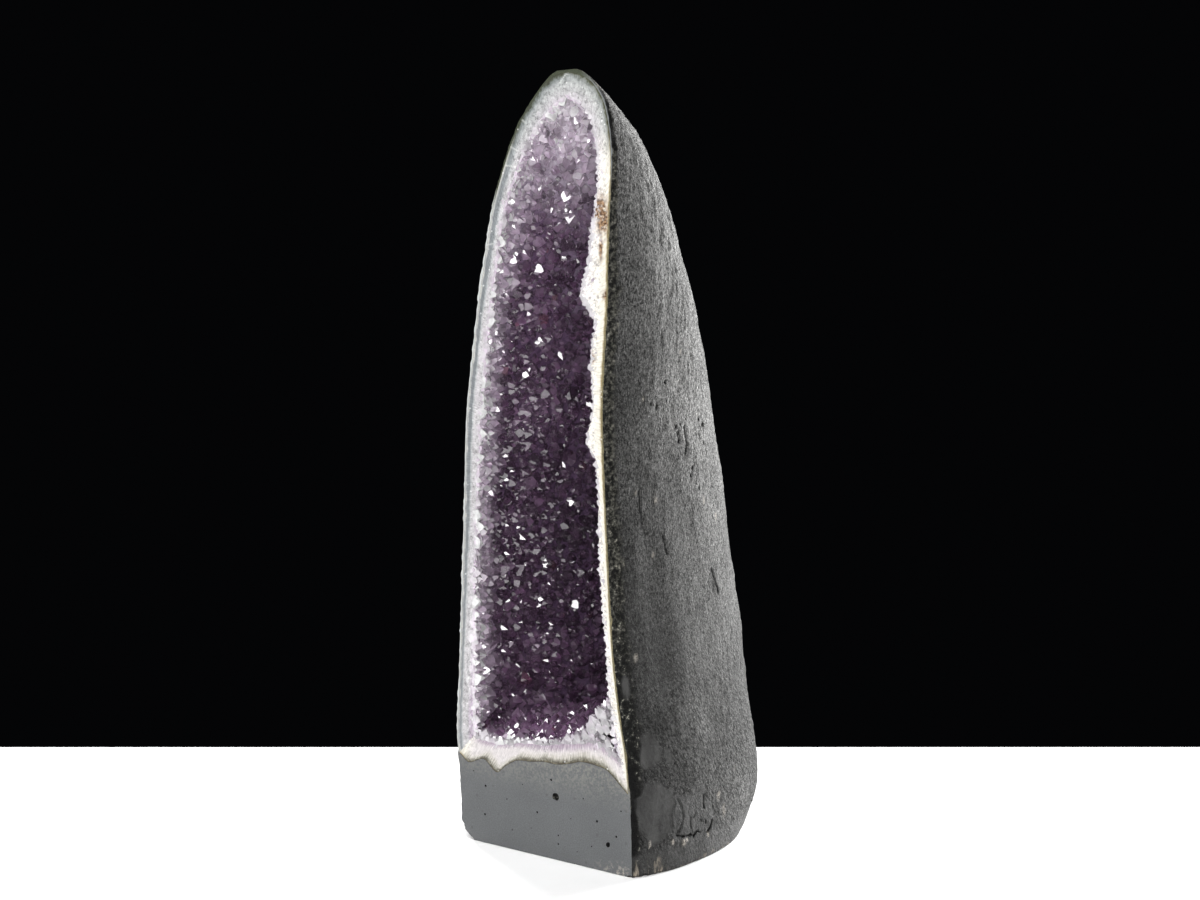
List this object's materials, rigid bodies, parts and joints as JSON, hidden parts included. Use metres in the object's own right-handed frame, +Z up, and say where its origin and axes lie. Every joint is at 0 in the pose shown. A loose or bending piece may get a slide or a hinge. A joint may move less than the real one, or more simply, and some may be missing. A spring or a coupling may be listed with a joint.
{
  "type": "amethyst cathedral geode",
  "caption": "Tall amethyst cathedral geode: a dark basalt tower sawn flat in front and below, its tapering hollow lined with white quartz and purple crystal points.",
  "frame": {"origin": "the middle of the flat base, under the middle of the bounding box", "axes": "+Z up from the base to the tip, -Y out of the sawn front face, +X to the right seen from the front"},
  "size_m": [0.245, 0.2582, 0.7],
  "materials": {
    "basalt": "matt dark grey, grainy like stucco on the rounded back and smooth where it was sawn in front",
    "amethyst": "glassy facets, deep purple inside the hollow, turning lilac and then white at the sawn rim"
  },
  "bodies": {
    "root": {"basalt_shell": "basalt", "crystal_crust": "amethyst"}
  },
  "joints": []
}
